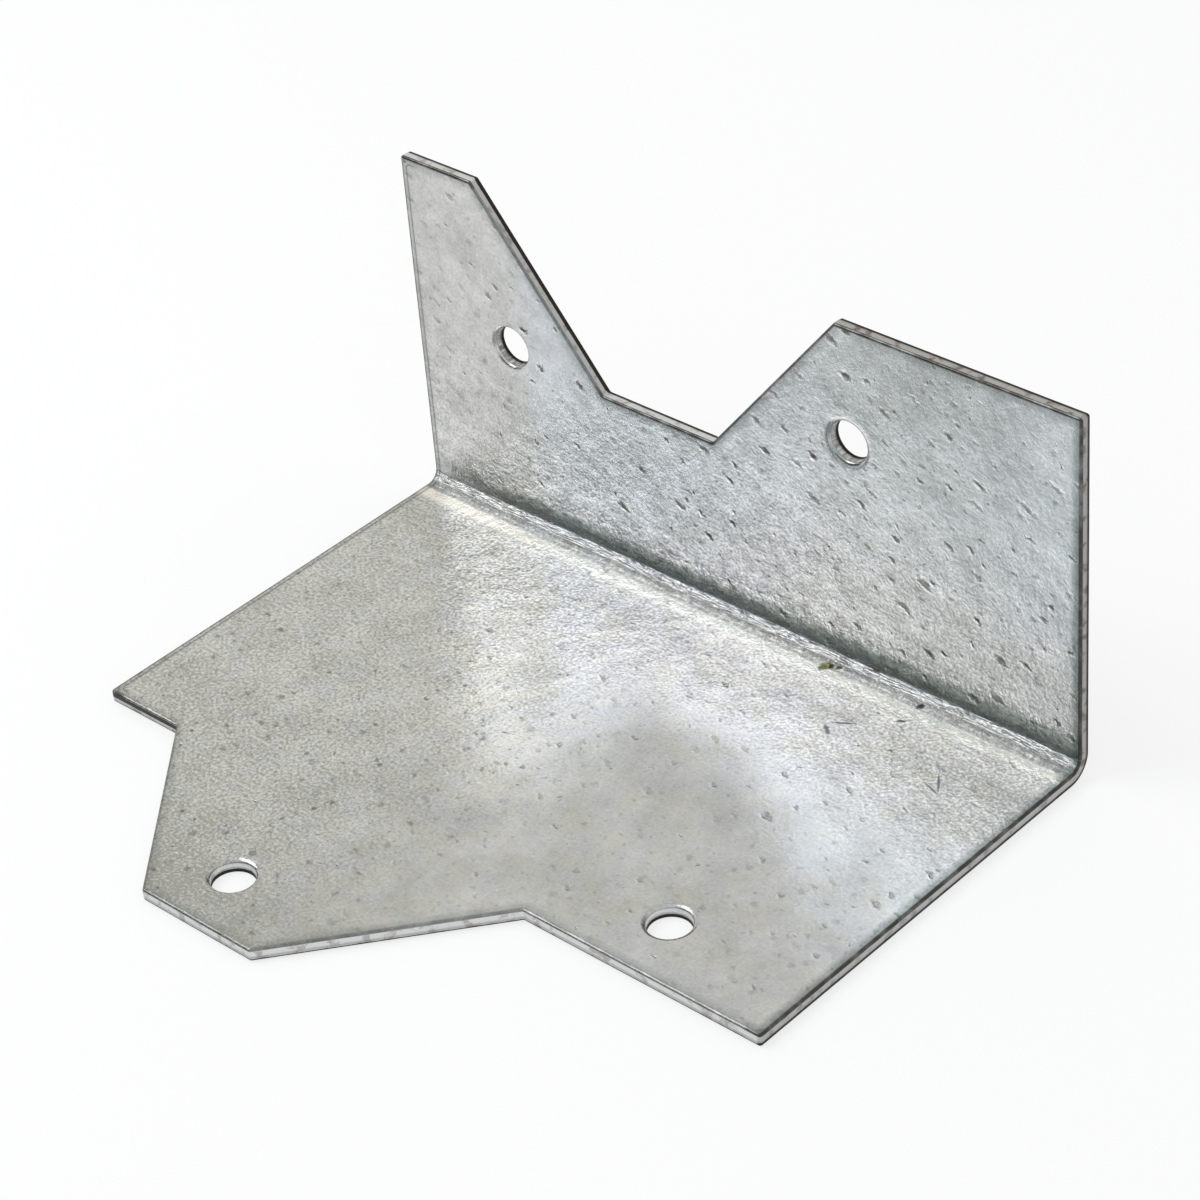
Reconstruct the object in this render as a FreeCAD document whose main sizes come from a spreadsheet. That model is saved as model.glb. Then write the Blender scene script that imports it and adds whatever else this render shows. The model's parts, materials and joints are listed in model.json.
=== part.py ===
import FreeCAD, Part
import math
import os

import Sketcher

# An angle bracket pressed from one blank of galvanised sheet and folded once at right angles.
# Frame: X runs along the bend, the floor leg lies on Z = 0 and reaches forward to -Y, the standing
# leg rises at the back. Lengths are in millimetres.
#
# Blanks are cut side by side from one strip, so the notch in the free edge of the standing leg and
# the tongue on the free edge of the floor leg share the same stations along the bend.

NODE = "angle_bracket"
ON_SKIN = 1e-4

DIMENSIONS = (
    ("bracket_length", 76.2, "along the bend"),
    ("sheet_thickness", 1.2, "sheet with its coating"),
    ("inside_bend_radius", 1.2, "inside the fold"),
    ("standing_height", 36.5, "underside of the floor leg to the tops of the tabs"),
    ("floor_reach", 61.1, "back of the standing leg to the front of the tongue"),
    ("step_depth", 17.45, "depth of the notch, and of the tongue beyond its shoulders"),
    ("first_tab_width", 8.7, "narrow tab, at the left end"),
    ("slope_run", 14.5, "each slope, measured along the bend"),
    ("tongue_width", 13.0, "flat front of the tongue and flat floor of the notch"),
    ("hole_diameter", 4.0, "nail holes"),
    ("first_tab_hole_inset", 3.3, "from the corner of the narrow tab, along the bend"),
    ("first_tab_hole_drop", 16.3, "below the tops of the tabs"),
    ("second_tab_hole_inset", 1.1, "from the corner of the wide tab, along the bend"),
    ("second_tab_hole_drop", 11.5, "below the tops of the tabs"),
    ("tongue_hole_inset", 4.9, "from the left corner of the tongue, along the bend"),
    ("tongue_hole_margin", 5.9, "behind the front of the tongue"),
    ("shoulder_hole_inset", 14.85, "from the right end"),
    ("shoulder_hole_margin", 6.2, "behind the front of the shoulder"),
    ("corner_radius", 0.3, "corners of the cut outline"),
    ("rollover_radius", 0.25, "cut edges of the inside face, drawn in by the punch"),
)

# Places along the bend, from its middle, and distances from the two outside faces.
LEFT_END = "-Dimensions.bracket_length / 2"
RIGHT_END = "Dimensions.bracket_length / 2"
BEND_LINE = "Dimensions.sheet_thickness + Dimensions.inside_bend_radius"
SHOULDER_REACH = "Dimensions.floor_reach - Dimensions.step_depth"
NOTCH_HEIGHT = "Dimensions.standing_height - Dimensions.step_depth"
FIRST_TAB_CORNER = LEFT_END + " + Dimensions.first_tab_width"
TONGUE_CORNER = FIRST_TAB_CORNER + " + Dimensions.slope_run"
SECOND_TAB_CORNER = TONGUE_CORNER + " + Dimensions.tongue_width + Dimensions.slope_run"

START, END, CENTRE = 1, 2, 3
HORIZONTAL_AXIS, VERTICAL_AXIS = -1, -2
ORIGIN = (-1, START)


def make_sheet(doc):
    """Writes the driving dimensions, one to a row, each with its alias."""
    sheet = doc.addObject("Spreadsheet::Sheet", "Dimensions")
    for row, (name, size, note) in enumerate(DIMENSIONS, start=1):
        sheet.set(f"A{row}", name)
        sheet.set(f"B{row}", str(size))
        sheet.set(f"C{row}", note)
        sheet.setAlias(f"B{row}", name)
    doc.recompute()
    return sheet


def origin_plane(body, role):
    return next(plane for plane in body.Origin.OriginFeatures if plane.Role == role)


def make_sketch(body, name, role):
    sketch = body.newObject("Sketcher::SketchObject", name)
    sketch.AttachmentSupport = [(origin_plane(body, role), "")]
    sketch.MapMode = "FlatFace"
    return sketch


def drive(sketch, name, expression, kind, *places):
    """Adds a named size between the given places and binds it to the sheet."""
    start = float(sketch.evalExpression(expression))
    index = sketch.addConstraint(Sketcher.Constraint(kind, *places, start))
    sketch.renameConstraint(index, name)
    sketch.setExpression(f"Constraints.{name}", expression)


def make_pad(body, name, sketch, length, symmetric=False):
    pad = body.newObject("PartDesign::Pad", name)
    pad.Profile = sketch
    pad.setExpression("Length", length)
    if symmetric:
        pad.SideType = "Symmetric"
    sketch.Visibility = False
    return pad


def make_bend(body, sheet):
    """The fold: a quarter ring between the two legs, as long as the bracket."""
    sketch = make_sketch(body, "BendSection", "YZ_Plane")
    thickness = sheet.sheet_thickness
    inside = sheet.inside_bend_radius
    outside = inside + thickness
    axis = FreeCAD.Vector(-outside, outside, 0)
    down, back = -math.pi / 2, 0.0
    normal = FreeCAD.Vector(0, 0, 1)
    inner = sketch.addGeometry(Part.ArcOfCircle(Part.Circle(axis, normal, inside), down, back))
    outer = sketch.addGeometry(Part.ArcOfCircle(Part.Circle(axis, normal, outside), down, back))
    foot = sketch.addGeometry(
        Part.LineSegment(FreeCAD.Vector(-outside, thickness, 0), FreeCAD.Vector(-outside, 0, 0))
    )
    top = sketch.addGeometry(
        Part.LineSegment(FreeCAD.Vector(0, outside, 0), FreeCAD.Vector(-thickness, outside, 0))
    )
    for place in (
        ("Coincident", inner, CENTRE, outer, CENTRE),
        ("Coincident", inner, START, foot, START),
        ("Coincident", outer, START, foot, END),
        ("Coincident", outer, END, top, START),
        ("Coincident", inner, END, top, END),
        ("Vertical", foot),
        ("Horizontal", top),
        ("Vertical", inner, CENTRE, foot, START),
        ("Horizontal", inner, CENTRE, top, END),
        ("PointOnObject", foot, END, HORIZONTAL_AXIS),
        ("PointOnObject", top, START, VERTICAL_AXIS),
    ):
        sketch.addConstraint(Sketcher.Constraint(*place))
    drive(sketch, "inside_radius", "Dimensions.inside_bend_radius", "Radius", inner)
    drive(sketch, "thickness", "Dimensions.sheet_thickness", "Distance", foot)
    return make_pad(body, "Bend", sketch, "Dimensions.bracket_length", symmetric=True)


def leg_outline(sketch, tab_level, middle_level, sense):
    """Draws one leg flat, from its bend line to its free edge.

    The free edge has a flat at each end, at tab_level, and one between them, at middle_level. Both
    are distances from the outside of the other leg, on the side of the axis that sense gives.
    """
    stations = (LEFT_END, LEFT_END, FIRST_TAB_CORNER, TONGUE_CORNER)
    stations += (TONGUE_CORNER + " + Dimensions.tongue_width", SECOND_TAB_CORNER, RIGHT_END, RIGHT_END)
    levels = (BEND_LINE, tab_level, tab_level, middle_level)
    levels += levels[::-1]
    corners = [
        FreeCAD.Vector(sketch.evalExpression(x), sense * sketch.evalExpression(y), 0)
        for x, y in zip(stations, levels)
    ]
    pairs = zip(corners, corners[1:] + corners[:1])
    sides = [sketch.addGeometry(Part.LineSegment(a, b)) for a, b in pairs]
    left, first_tab, slope_out, middle, slope_back, second_tab, right, bend_line = sides
    for side, following in zip(sides, sides[1:] + sides[:1]):
        sketch.addConstraint(Sketcher.Constraint("Coincident", side, END, following, START))
    for side in (first_tab, middle, second_tab):
        sketch.addConstraint(Sketcher.Constraint("Horizontal", side))
    for side in (left, right):
        sketch.addConstraint(Sketcher.Constraint("Vertical", side))
    sketch.addConstraint(
        Sketcher.Constraint("Symmetric", bend_line, START, bend_line, END, VERTICAL_AXIS)
    )
    drive(sketch, "length", "Dimensions.bracket_length", "DistanceX", bend_line, END, bend_line, START)
    drive(sketch, "bend_line", BEND_LINE, "Distance", bend_line, START, HORIZONTAL_AXIS)
    drive(sketch, "middle_level", middle_level, "Distance", middle, START, HORIZONTAL_AXIS)
    for name, side, size in (
        ("first_tab", first_tab, "first_tab_width"),
        ("run_out", slope_out, "slope_run"),
        ("middle", middle, "tongue_width"),
        ("run_back", slope_back, "slope_run"),
    ):
        drive(sketch, name, f"Dimensions.{size}", "DistanceX", side, START, side, END)
    for name, side in (("step_out", slope_out), ("step_back", slope_back)):
        rises = corners[side].y < corners[side + 1].y
        ends = (side, START, side, END) if rises else (side, END, side, START)
        drive(sketch, name, "Dimensions.step_depth", "DistanceY", *ends)


def make_leg(body, name, role, tab_level, middle_level, sense):
    sketch = make_sketch(body, name + "Outline", role)
    leg_outline(sketch, tab_level, middle_level, sense)
    return make_pad(body, name, sketch, "Dimensions.sheet_thickness")


def make_holes(body, name, role, places, sense):
    """Punches the nail holes of one leg, each through the whole sheet."""
    sketch = make_sketch(body, name + "Centres", role)
    radius = sketch.evalExpression("Dimensions.hole_diameter") / 2
    normal = FreeCAD.Vector(0, 0, 1)
    for number, (along, level) in enumerate(places, start=1):
        centre = FreeCAD.Vector(sketch.evalExpression(along), sense * sketch.evalExpression(level), 0)
        circle = sketch.addGeometry(Part.Circle(centre, normal, radius))
        drive(sketch, f"along_{number}", along, "DistanceX", *ORIGIN, circle, CENTRE)
        drive(sketch, f"level_{number}", level, "Distance", circle, CENTRE, HORIZONTAL_AXIS)
        drive(sketch, f"diameter_{number}", "Dimensions.hole_diameter", "Diameter", circle)
    pocket = body.newObject("PartDesign::Pocket", name)
    pocket.Profile = sketch
    pocket.Type = "ThroughAll"
    pocket.Reversed = True
    sketch.Visibility = False
    return pocket


def make_fillet(body, name, test, radius):
    """Rounds the edges of the body's last feature that the test picks out.

    An edge where two faces meet can be rounded; the seam of a hole's wall borders only one.
    """
    base = body.Tip
    chosen = []
    for number, edge in enumerate(base.Shape.Edges, start=1):
        is_seam = len(base.Shape.ancestorsOfType(edge, Part.Face)) < 2
        if test(edge) and not is_seam:
            chosen.append(f"Edge{number}")
    fillet = body.newObject("PartDesign::Fillet", name)
    fillet.Base = (base, chosen)
    fillet.setExpression("Radius", radius)
    return fillet


def middle_of(edge):
    return edge.valueAt((edge.FirstParameter + edge.LastParameter) / 2)


def is_outline_corner(sheet):
    """Gives a test for the short straight edges that cross the sheet at a corner of a free edge."""
    bend = sheet.sheet_thickness + sheet.inside_bend_radius

    def test(edge):
        if not isinstance(edge.Curve, Part.Line):
            return False
        across = abs(edge.Length - sheet.sheet_thickness) < ON_SKIN
        middle = middle_of(edge)
        direction = edge.tangentAt(edge.FirstParameter)
        on_floor_leg = middle.y < -bend - ON_SKIN and abs(direction.z) > 1 - ON_SKIN
        on_standing_leg = middle.z > bend + ON_SKIN and abs(direction.y) > 1 - ON_SKIN
        return across and (on_floor_leg or on_standing_leg)

    return test


def is_inside_rim(sheet):
    """Gives a test for the cut edges of the inside face: free edges, ends and hole rims."""
    thickness = sheet.sheet_thickness
    radius = sheet.inside_bend_radius
    bend = thickness + radius

    def test(edge):
        at = middle_of(edge)
        on_floor_leg = abs(at.z - thickness) < ON_SKIN and at.y < -bend - ON_SKIN
        on_standing_leg = abs(at.y + thickness) < ON_SKIN and at.z > bend + ON_SKIN
        from_axis = math.hypot(at.y + bend, at.z - bend)
        along_bend = abs(edge.tangentAt(edge.FirstParameter).x) > 1 - ON_SKIN
        in_fold = at.y > -bend + ON_SKIN and at.z < bend - ON_SKIN
        on_fold = in_fold and abs(from_axis - radius) < ON_SKIN and not along_bend
        return on_floor_leg or on_standing_leg or on_fold

    return test


def expect_change(doc, body, feature, grows):
    """Rebuilds the document and stops if the feature didn't add or remove material as it should."""
    before = body.Shape.Volume if not body.Shape.isNull() else 0.0
    body.Tip = feature
    doc.recompute()
    after = feature.Shape.Volume
    if (after > before) != grows or after == before:
        raise RuntimeError(f"{feature.Name} changed the volume from {before:.2f} to {after:.2f} mm3")


def make_bracket(doc, sheet):
    body = doc.addObject("PartDesign::Body", "AngleBracket")
    body.Label = NODE
    expect_change(doc, body, make_bend(body, sheet), grows=True)
    floor_leg = make_leg(body, "FloorLeg", "XY_Plane", SHOULDER_REACH, "Dimensions.floor_reach", -1)
    expect_change(doc, body, floor_leg, grows=True)
    standing_leg = make_leg(body, "StandingLeg", "XZ_Plane", "Dimensions.standing_height", NOTCH_HEIGHT, 1)
    expect_change(doc, body, standing_leg, grows=True)

    floor_places = (
        (TONGUE_CORNER + " + Dimensions.tongue_hole_inset",
         "Dimensions.floor_reach - Dimensions.tongue_hole_margin"),
        (RIGHT_END + " - Dimensions.shoulder_hole_inset",
         SHOULDER_REACH + " - Dimensions.shoulder_hole_margin"),
    )
    standing_places = (
        (FIRST_TAB_CORNER + " + Dimensions.first_tab_hole_inset",
         "Dimensions.standing_height - Dimensions.first_tab_hole_drop"),
        (SECOND_TAB_CORNER + " + Dimensions.second_tab_hole_inset",
         "Dimensions.standing_height - Dimensions.second_tab_hole_drop"),
    )
    floor_holes = make_holes(body, "FloorHoles", "XY_Plane", floor_places, -1)
    expect_change(doc, body, floor_holes, grows=False)
    standing_holes = make_holes(body, "StandingHoles", "XZ_Plane", standing_places, 1)
    expect_change(doc, body, standing_holes, grows=False)

    corners = make_fillet(body, "OutlineCorners", is_outline_corner(sheet), "Dimensions.corner_radius")
    doc.recompute()
    body.Tip = corners
    rim = make_fillet(body, "PunchRollover", is_inside_rim(sheet), "Dimensions.rollover_radius")
    expect_change(doc, body, rim, grows=False)

    body.setExpression("Placement.Base.y", "Dimensions.floor_reach / 2")
    doc.recompute()
    return body


def stop_on_faults(doc, body):
    failed = [o.Name for o in doc.Objects if {"Invalid", "Error"} & set(o.State)]
    if failed:
        raise RuntimeError("failed: " + ", ".join(failed))
    loose = [o.Name for o in doc.Objects if o.isDerivedFrom("Sketcher::SketchObject") and o.solve() != 0]
    if loose:
        raise RuntimeError("unsolved sketches: " + ", ".join(loose))
    if body.Shape.isNull() or not body.Shape.isValid() or len(body.Shape.Solids) != 1:
        raise RuntimeError(f"{body.Label} is not one valid solid")


def main():
    doc = FreeCAD.newDocument("AngleBracket")
    sheet = make_sheet(doc)
    body = make_bracket(doc, sheet)
    stop_on_faults(doc, body)
    os.makedirs("parts", exist_ok=True)
    body.Shape.exportStep(f"parts/{body.Label}.step")
    box = body.Shape.BoundBox
    print(f"{body.Label}: {box.XLength:.2f} x {box.YLength:.2f} x {box.ZLength:.2f} mm,"
          f" {body.Shape.Volume:.1f} mm3")


main()
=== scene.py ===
"""Dresses the angle bracket: a galvanised sheet, punched flat, folded once and set on a pale studio floor."""

import json
import logging
import math
from collections.abc import Sequence
from dataclasses import asdict, dataclass, field, fields
from enum import Enum
from typing import ClassVar

import bpy
import numpy as np
from bpy.types import ID, Material, Mesh, Node, NodeSocket, NodeTree, Object
from mathutils import Matrix, Vector
from mathutils.geometry import delaunay_2d_cdt


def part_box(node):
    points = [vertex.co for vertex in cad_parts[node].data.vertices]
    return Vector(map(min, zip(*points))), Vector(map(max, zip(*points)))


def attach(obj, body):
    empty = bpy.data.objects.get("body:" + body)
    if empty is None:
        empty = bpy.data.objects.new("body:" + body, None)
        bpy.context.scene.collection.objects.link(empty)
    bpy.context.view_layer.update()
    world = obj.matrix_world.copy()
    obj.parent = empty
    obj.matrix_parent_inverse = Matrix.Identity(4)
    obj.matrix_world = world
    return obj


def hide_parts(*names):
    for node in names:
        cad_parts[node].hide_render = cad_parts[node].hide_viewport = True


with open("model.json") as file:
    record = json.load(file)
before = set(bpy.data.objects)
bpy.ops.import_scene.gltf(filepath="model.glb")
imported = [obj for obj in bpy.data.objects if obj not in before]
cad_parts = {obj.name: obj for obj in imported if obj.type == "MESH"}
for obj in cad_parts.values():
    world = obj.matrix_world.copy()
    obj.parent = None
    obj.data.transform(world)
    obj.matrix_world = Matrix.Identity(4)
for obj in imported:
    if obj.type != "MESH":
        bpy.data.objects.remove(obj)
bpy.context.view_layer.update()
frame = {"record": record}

NODE = "angle_bracket"
BODY = "root"
MM = 0.001
HALF = 0.5
RIGHT_ANGLE = math.pi / 2
NOISE_MEAN = 0.5
# A hole whose axis is more upright than this is in the floor leg
UPRIGHT = 0.5
# A face is filled with triangles out to its hull, and points closer than this many millimetres are one
ALL_TRIANGLES = 0
MERGE_GAP = 1e-6

log = logging.getLogger("bracket")

Feed = NodeSocket | float | Sequence[float]
Sockets = dict[str, NodeSocket]
Feeds = dict[str, Feed]
Numbers = tuple[float, ...]
Pair = tuple[float, float]
Weights = dict[str, float]


class Carried(Enum):
    """The names of what the flat blank carries with it into the fold."""

    FLAT = "flat_mm"
    EDGE_GAP = "edge_gap_mm"
    HOLE_GAP = "hole_gap_mm"
    CUT_WALL = "cut_wall"
    BAKE_MAP = "OFBake"


class Socket(Enum):
    """The kinds of socket that the node trees here have."""

    VALUE = "NodeSocketFloat"
    VECTOR = "NodeSocketVector"
    GEOMETRY = "NodeSocketGeometry"
    MATERIAL = "NodeSocketMaterial"


@dataclass(frozen=True)
class Ramp:
    """A smooth change: the values where it starts and ends, and what it runs from and to."""

    low: float
    high: float
    start: float = 0.0
    end: float = 1.0


def fall(low: float, high: float, end: float = 0.0) -> Ramp:
    """Gives a ramp that falls from 1."""
    return Ramp(low, high, 1.0, end)


STANDING_LEG = Ramp(-1.0, 1.0)
FLOOR_LEG = fall(-1.0, 1.0)
INSIDE_FACE = Ramp(0.0, 0.3)


@dataclass(frozen=True)
class Noise:
    """A noise: the size of its largest lumps, how many finer layers it has and how strong these are."""

    grain: float
    detail: float = 2.0
    roughness: float = 0.5


@dataclass(frozen=True)
class Scatter:
    """How pits lie: their spacing, the share of places that have one, their reach and their stretch."""

    spacing: float
    share: float
    reach: float
    stretch: float


class Graph:
    """Adds nodes to one tree and links them."""

    def __init__(self, tree: NodeTree) -> None:
        """Keeps the tree that the nodes go into."""
        self.tree = tree

    @classmethod
    def group(cls, name: str, kind: str, inputs: dict[str, Socket], outputs: dict[str, Socket]) -> "Graph":
        """Makes a node group with named sockets.

        Args:
            name: the group's name.
            kind: its tree type.
            inputs: each input's name and kind.
            outputs: each output's name and kind.

        Returns:
            The graph of the new group.
        """
        tree = bpy.data.node_groups.new(name, kind)
        for in_out, sockets in (("INPUT", inputs), ("OUTPUT", outputs)):
            for label, socket in sockets.items():
                tree.interface.new_socket(name=label, in_out=in_out, socket_type=socket.value)
        return cls(tree)

    def given(self) -> Sockets:
        """Gives the group's inputs by name."""
        return {socket.name: socket for socket in self.node("NodeGroupInput").outputs}

    def result(self, **values: NodeSocket) -> NodeTree:
        """Feeds the group's outputs.

        Args:
            values: what feeds them, named with underscores for spaces.

        Returns:
            The finished tree.
        """
        outputs = self.node("NodeGroupOutput").inputs
        for name, value in values.items():
            self.feed(outputs[name.replace("_", " ")], value)
        return self.tree

    def node(self, kind: str, **settings: object) -> Node:
        """Adds a node.

        Args:
            kind: the node's type name.
            settings: properties to set on it.

        Returns:
            The new node.
        """
        node = self.tree.nodes.new(kind)
        for name, value in settings.items():
            setattr(node, name, value)
        return node

    def feed(self, socket: NodeSocket, value: Feed) -> None:
        """Links a socket to another one, or sets its own value.

        Args:
            socket: the socket.
            value: the other socket, or the value.
        """
        if isinstance(value, NodeSocket):
            self.tree.links.new(value, socket)
        else:
            socket.default_value = value

    def find(self, kind: str) -> Node:
        """Finds the tree's node of a kind."""
        return next(node for node in self.tree.nodes if node.type == kind)

    def made(self, kind: str, feeds: Feeds | Sequence[Feed], **settings: object) -> NodeSocket:
        """Adds a node and feeds it.

        Args:
            kind: the node's type name.
            feeds: what feeds its inputs, by name or in order.
            settings: properties to set on it.

        Returns:
            Its first output.
        """
        node = self.node(kind, **settings)
        for key, value in feeds.items() if isinstance(feeds, dict) else enumerate(feeds):
            self.feed(node.inputs[key], value)
        return node.outputs[0]

    def math(self, operation: str, *values: Feed) -> NodeSocket:
        """Adds a Math node."""
        return self.made("ShaderNodeMath", values, operation=operation)

    def vector(self, operation: str, *values: Feed) -> NodeSocket:
        """Adds a Vector Math node and gives its vector."""
        return self.made("ShaderNodeVectorMath", values, operation=operation)

    def combine(self, *values: Feed) -> NodeSocket:
        """Makes a vector of three values."""
        return self.made("ShaderNodeCombineXYZ", values)

    def total(self, *terms: tuple[Feed, float]) -> NodeSocket:
        """Adds up values.

        Args:
            terms: each value and its weight.

        Returns:
            The sum.
        """
        result: Feed = 0.0
        for value, weight in terms:
            result = self.math("MULTIPLY_ADD", value, weight, result)
        return result

    def weigh(self, values: Feeds, weights: Weights) -> NodeSocket:
        """Adds up the named values that have a weight, each times its weight."""
        return self.total(*((values[name], weight) for name, weight in weights.items()))

    def product(self, *factors: Feed) -> NodeSocket:
        """Multiplies values.

        Args:
            factors: the values, one or more.

        Returns:
            Their product.
        """
        result, *others = factors
        for factor in others:
            result = self.math("MULTIPLY", result, factor)
        return result

    def between(self, share: Feed, start: float, end: float) -> NodeSocket:
        """Goes from one value to another as a share goes from 0 to 1."""
        return self.math("MULTIPLY_ADD", share, end - start, start)

    def centred(self, noise: Feed) -> NodeSocket:
        """Moves a noise so that it is about 0 on average."""
        return self.math("ADD", noise, -NOISE_MEAN)

    def ruffle(self, value: Feed, noise: Feed, amount: float) -> NodeSocket:
        """Moves a value up and down with a noise."""
        return self.math("MULTIPLY_ADD", self.centred(noise), amount, value)

    def separate(self, vector: NodeSocket) -> list[NodeSocket]:
        """Splits a vector into its three values."""
        first = self.made("ShaderNodeSeparateXYZ", [vector])
        return list(first.node.outputs)

    def step(self, value: Feed, low: Feed, high: Feed, start: Feed = 0.0, end: Feed = 1.0) -> NodeSocket:
        """Adds a smooth step.

        Args:
            value: what is mapped.
            low: the value that maps to start.
            high: the value that maps to end.
            start: the result at and below low.
            end: the result at and above high.

        Returns:
            The mapped value.
        """
        feeds = {"Value": value, "From Min": low, "From Max": high, "To Min": start, "To Max": end}
        return self.made("ShaderNodeMapRange", feeds, interpolation_type="SMOOTHSTEP")

    def ramp(self, value: Feed, ramp: Ramp) -> NodeSocket:
        """Adds a smooth step along a ramp."""
        return self.step(value, ramp.low, ramp.high, ramp.start, ramp.end)

    def beside(self, value: Feed, place: float, ramp: Ramp) -> NodeSocket:
        """Adds a smooth step by how far a value is from a place."""
        return self.ramp(self.math("ABSOLUTE", self.math("SUBTRACT", value, place)), ramp)

    def noise(self, place: Feed, noise: Noise) -> NodeSocket:
        """Adds a noise, about NOISE_MEAN on average, that is read at a place in the units of its grain."""
        feeds = {"Scale": 1 / noise.grain, "Detail": noise.detail, "Roughness": noise.roughness}
        return self.made("ShaderNodeTexNoise", {"Vector": place} | feeds)

    def mix(self, factor: Feed, first: Feed, second: Feed, blend: str = "MIX") -> NodeSocket:
        """Mixes two colours.

        Args:
            factor: how much of the second shows.
            first: the colour at 0.
            second: the colour at 1.
            blend: the blend type.

        Returns:
            The mixed colour.
        """
        node = self.node("ShaderNodeMix", data_type="RGBA", blend_type=blend)
        colours = [socket for socket in node.inputs if socket.type == "RGBA"]
        for socket, value in zip((node.inputs[0], *colours), (factor, first, second)):
            self.feed(socket, value)
        return next(socket for socket in node.outputs if socket.type == "RGBA")

    def place(self, tree: NodeTree, **feeds: Feed) -> Sockets:
        """Places a shader group.

        Args:
            tree: the group.
            feeds: what feeds its inputs, named with underscores for spaces.

        Returns:
            Its outputs by name.
        """
        node = self.node("ShaderNodeGroup", node_tree=tree)
        for name, value in feeds.items():
            self.feed(node.inputs[name.replace("_", " ")], value)
        return {socket.name: socket for socket in node.outputs}


class SurfaceEffects:
    """The effects that the skin and the cut edges share, each a shader group."""

    grain_layers: dict[str, Noise] = {
        "Bloom": Noise(5.0, 3.0, 0.6),
        "Mottle": Noise(1.2, 3.0, 0.6),
        "Tooth": Noise(0.30, 1.0, 0.6),
    }
    pit_lay: float = math.radians(-29.0)
    pit_wobble_scale: float = 2.0
    pit_wobble_reach: Numbers = (0.8, 0.8, 0.0)
    pit_face_shifts: Pair = (37.0, 53.0)
    pit_sizes: Pair = (0.25, 1.1)
    pit_depths: Pair = (0.45, 1.0)
    pit_floor: float = 0.2
    tarnish_cloud: Noise = Noise(1.6, 3.0, 0.6)
    tarnish_patches: Ramp = Ramp(0.3, 0.6, 0.7, 1.0)
    tarnish_core: float = 0.4

    def __init__(self) -> None:
        """Builds the groups once."""
        self.grain = self.build_grain()
        self.pits = self.build_pits()
        self.tarnish = self.build_tarnish()

    def build_grain(self) -> NodeTree:
        """Builds the coating's grain: broad bloom, mottling and a fine tooth.

        Returns:
            The group.
        """
        outputs = {name: Socket.VALUE for name in self.grain_layers}
        graph = Graph.group("Zinc grain", "ShaderNodeTree", {"flat": Socket.VECTOR}, outputs)
        flat = graph.given()["flat"]
        return graph.result(**{name: graph.noise(flat, layer) for name, layer in self.grain_layers.items()})

    def build_pits(self) -> NodeTree:
        """Builds scattered pits, each in its own cell and of its own size.

        Returns:
            The group.
        """
        inputs = {"flat": Socket.VECTOR} | {size.name: Socket.VALUE for size in fields(Scatter)}
        graph = Graph.group("Coating pits", "ShaderNodeTree", inputs, {"Mask": Socket.VALUE})
        given = graph.given()
        wobble = graph.node("ShaderNodeTexNoise")
        graph.feed(wobble.inputs["Vector"], given["flat"])
        wobble.inputs["Scale"].default_value = self.pit_wobble_scale
        ragged = graph.vector("MULTIPLY_ADD", wobble.outputs["Color"], self.pit_wobble_reach, given["flat"])
        x, s, level = graph.separate(ragged)
        cosine, sine = math.cos(self.pit_lay), math.sin(self.pit_lay)
        along = graph.total((x, cosine), (s, sine), (level, self.pit_face_shifts[0]))
        across = graph.total((x, -sine), (s, cosine), (level, self.pit_face_shifts[1]))
        cells = graph.node("ShaderNodeTexVoronoi", voronoi_dimensions="2D", feature="F1")
        squeezed = graph.math("DIVIDE", along, given["stretch"])
        graph.feed(cells.inputs["Vector"], graph.combine(squeezed, across, 0.0))
        graph.feed(cells.inputs["Scale"], graph.math("DIVIDE", 1.0, given["spacing"]))
        chance, size, depth = graph.separate(cells.outputs["Color"])
        present = graph.math("LESS_THAN", chance, given["share"])
        radius = graph.math("DIVIDE", given["reach"], given["spacing"])
        radius = graph.product(radius, graph.between(graph.product(size, size), *self.pit_sizes))
        bowl = graph.step(cells.outputs["Distance"], graph.product(radius, self.pit_floor), radius, 1.0, 0.0)
        return graph.result(Mask=graph.product(bowl, graph.between(depth, *self.pit_depths), present))

    def build_tarnish(self) -> NodeTree:
        """Builds the tarnish beside a cut edge: a thin line on the rolled lip and a soft band inside it.

        Returns:
            The group.
        """
        inputs = {"flat": Socket.VECTOR, "edge gap": Socket.VALUE, "lip": Socket.VALUE, "reach": Socket.VALUE}
        outputs = {"Line": Socket.VALUE, "Band": Socket.VALUE}
        graph = Graph.group("Cut-edge tarnish", "ShaderNodeTree", inputs, outputs)
        given = graph.given()
        gap, lip = given["edge gap"], given["lip"]
        patchy = graph.ramp(graph.noise(given["flat"], self.tarnish_cloud), self.tarnish_patches)
        line = graph.step(gap, graph.product(lip, self.tarnish_core), lip, 1.0, 0.0)
        band = graph.step(gap, lip, given["reach"], 1.0, 0.0)
        return graph.result(Line=graph.product(line, patchy), Band=graph.product(band, patchy))


@dataclass(frozen=True)
class Patch:
    """A soft-edged part of the blank, by ramps along the bend and across it, in millimetres."""

    along: tuple[Ramp, ...] = ()
    across: tuple[Ramp, ...] = ()

    def mask(self, graph: Graph, x: NodeSocket, s: NodeSocket) -> NodeSocket:
        """Marks the patch."""
        ramps = [graph.ramp(x, ramp) for ramp in self.along]
        return graph.product(*ramps, *(graph.ramp(s, ramp) for ramp in self.across))


Patches = dict[str, Patch]


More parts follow.
